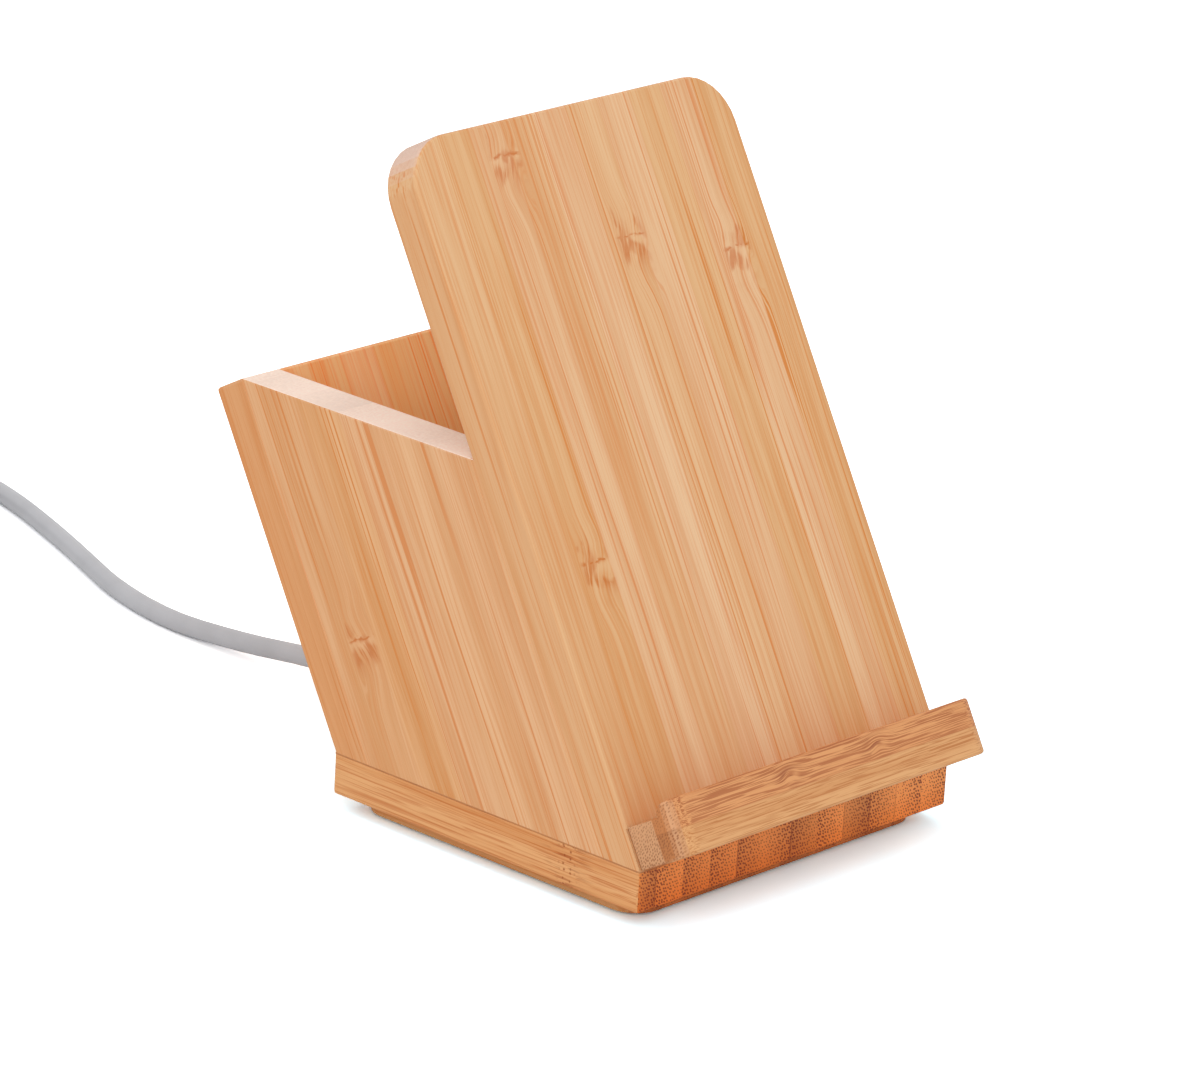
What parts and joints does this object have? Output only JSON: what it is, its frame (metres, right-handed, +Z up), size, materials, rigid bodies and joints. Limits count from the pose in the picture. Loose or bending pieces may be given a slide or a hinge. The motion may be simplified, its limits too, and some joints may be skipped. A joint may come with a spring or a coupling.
{
  "type": "wireless charger pen holder",
  "caption": "Desktop phone charging stand in laminated bamboo: a tall leaning panel with a lipped rail, an open pen box behind it, and a USB lead.",
  "frame": {"origin": "on the desk surface, under the centre of the holder's length and width, without the lead", "axes": "+Z up, -Y towards the user on the phone's side, +X to the right seen from the front"},
  "size_m": [0.08, 0.2969, 0.1141],
  "materials": {
    "bamboo": "laminated bamboo, fine satin lacquer",
    "beech": "plain turned beech",
    "silicone": "matt black silicone",
    "steel": "plated steel",
    "copper": "enamelled copper wire",
    "ferrite": "dark sintered ferrite",
    "laminate": "green glass-fibre laminate",
    "black_plastic": "matt moulded plastic",
    "capacitor_ceramic": "tan ceramic",
    "white_plastic": "satin white moulding",
    "tongue_plastic": "white plastic",
    "lead_jacket": "soft white vinyl jacket"
  },
  "bodies": {
    "root": {"anti_slip_pad_1": "silicone", "anti_slip_pad_2": "silicone", "anti_slip_pad_3": "silicone", "anti_slip_pad_4": "silicone", "base_dowel_1": "beech", "base_dowel_2": "beech", "base_dowel_3": "beech", "base_dowel_4": "beech", "base_slab": "bamboo", "board_screw_1": "steel", "board_screw_2": "steel", "charging_coil": "copper", "circuit_board": "laminate", "coil_cover": "bamboo", "coil_terminal_1": "steel", "coil_terminal_2": "steel", "control_chip": "black_plastic", "driver_chip_1": "black_plastic", "driver_chip_2": "black_plastic", "ferrite_shield": "ferrite", "foot_plate": "bamboo", "foot_plate_screw_1": "steel", "foot_plate_screw_2": "steel", "foot_plate_screw_3": "steel", "foot_plate_screw_4": "steel", "front_panel": "bamboo", "left_wall": "bamboo", "phone_rail": "bamboo", "plug_body": "white_plastic", "plug_shell": "steel", "power_inductor": "ferrite", "rail_dowel_1": "beech", "rail_dowel_2": "beech", "rear_wall": "bamboo", "resonant_capacitor_1": "capacitor_ceramic", "resonant_capacitor_2": "capacitor_ceramic", "resonant_capacitor_3": "capacitor_ceramic", "resonant_capacitor_4": "capacitor_ceramic", "right_wall": "bamboo", "usb_a_body": "white_plastic", "usb_a_shell": "steel", "usb_a_tongue": "tongue_plastic", "usb_lead": "lead_jacket", "usb_lead_coil": "lead_jacket", "usb_lead_tail": "lead_jacket", "usb_socket_core": "black_plastic", "usb_socket_shell": "steel", "wall_dowel_1": "beech", "wall_dowel_2": "beech", "wall_dowel_3": "beech", "wall_dowel_4": "beech", "wall_dowel_5": "beech", "wall_dowel_6": "beech", "wall_dowel_7": "beech", "wall_dowel_8": "beech"}
  },
  "joints": []
}
